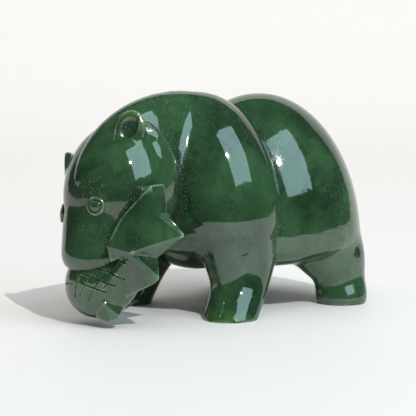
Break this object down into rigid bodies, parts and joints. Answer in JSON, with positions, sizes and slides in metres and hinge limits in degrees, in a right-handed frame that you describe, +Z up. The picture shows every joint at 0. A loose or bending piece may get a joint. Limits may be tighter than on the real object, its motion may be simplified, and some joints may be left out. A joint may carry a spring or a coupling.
{
  "type": "stone bear sculpture",
  "caption": "Polished green stone carving of a standing bear with its head lowered and a salmon held crosswise in its mouth.",
  "frame": {"origin": "on the floor under the middle of the outline, which is the bottom centre of the bounding box", "axes": "+X from the nose towards the rump along the body, +Y towards the bear's right side, +Z up"},
  "size_m": [0.1284, 0.0724, 0.0775],
  "materials": {
    "jade": "high polish, deep mottled green with fine pale specks"
  },
  "bodies": {
    "root": {"bear_with_salmon": "jade"}
  },
  "joints": []
}
